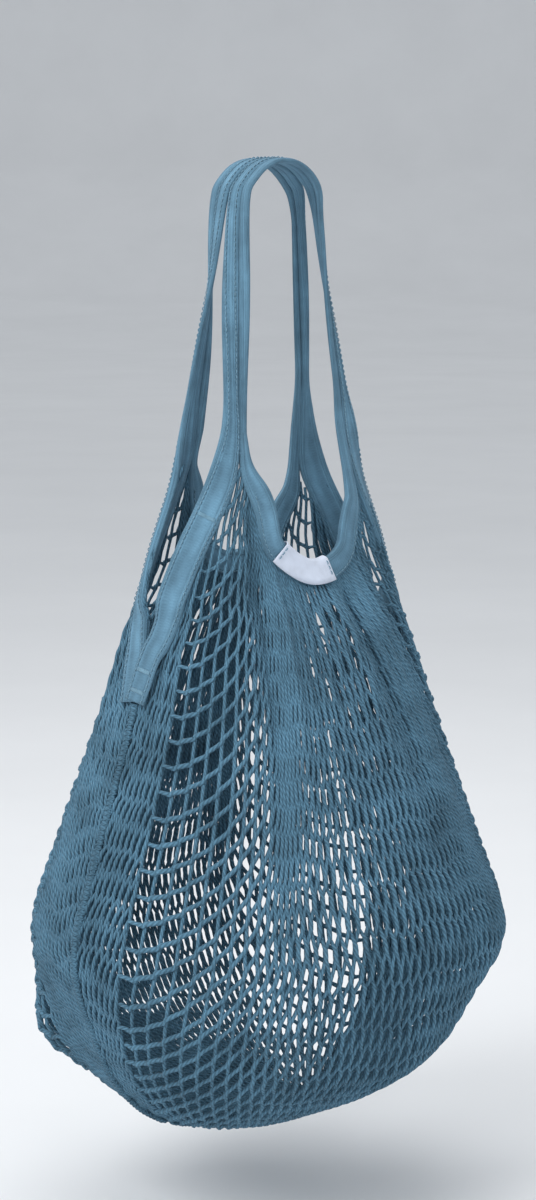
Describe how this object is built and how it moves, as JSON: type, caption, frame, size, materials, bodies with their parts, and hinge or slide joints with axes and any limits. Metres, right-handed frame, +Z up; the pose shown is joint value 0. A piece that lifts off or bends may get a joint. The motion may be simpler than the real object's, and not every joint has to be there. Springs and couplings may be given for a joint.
{
  "type": "mesh produce bag",
  "caption": "Open net shopping bag of knotless cotton mesh with two woven tape handles, bound mouth and side notches, shown filled out and hanging.",
  "frame": {"origin": "where the undersides of the two handle crowns rest on what carries the bag, midway between them", "axes": "+Z up, +X to the bag's right, -Y towards the front panel, the one with the label"},
  "size_m": [0.2676, 0.238, 0.5111],
  "materials": {
    "net_cotton": "matte",
    "tape_cotton": "matte",
    "lining_cotton": "matte",
    "sewing_thread": "satin",
    "seam_thread": "matte",
    "label_ribbon": "satin"
  },
  "bodies": {
    "bag": {"front_net": "net_cotton", "back_net": "net_cotton", "front_left_notch_tape": "tape_cotton", "back_left_notch_tape": "tape_cotton", "front_right_notch_tape": "tape_cotton", "back_right_notch_tape": "tape_cotton", "front_rim_tape": "tape_cotton", "back_rim_tape": "tape_cotton", "left_notch_stitching": "sewing_thread", "right_notch_stitching": "sewing_thread", "front_rim_stitching": "sewing_thread", "back_rim_stitching": "sewing_thread", "left_notch_tack": "sewing_thread", "right_notch_tack": "sewing_thread", "front_peak_tacks": "sewing_thread", "back_peak_tacks": "sewing_thread", "label_stitching": "sewing_thread", "left_side_seam": "seam_thread", "right_side_seam": "seam_thread", "bottom_seam": "seam_thread", "label": "label_ribbon"},
    "front_handle": {"front_handle_tape": "tape_cotton", "front_handle_lining": "lining_cotton", "front_handle_stitching": "sewing_thread"},
    "back_handle": {"back_handle_tape": "tape_cotton", "back_handle_lining": "lining_cotton", "back_handle_stitching": "sewing_thread"}
  },
  "joints": [
    {"name": "front_handle_flex", "type": "hinge", "parent": "bag", "child": "front_handle", "pos_m": [0, -0.017, -0.136], "axis": [1, 0, 0], "range_deg": [0, 120]},
    {"name": "back_handle_flex", "type": "hinge", "parent": "bag", "child": "back_handle", "pos_m": [0, 0.017, -0.136], "axis": [-1, 0, 0], "range_deg": [0, 120]}
  ]
}
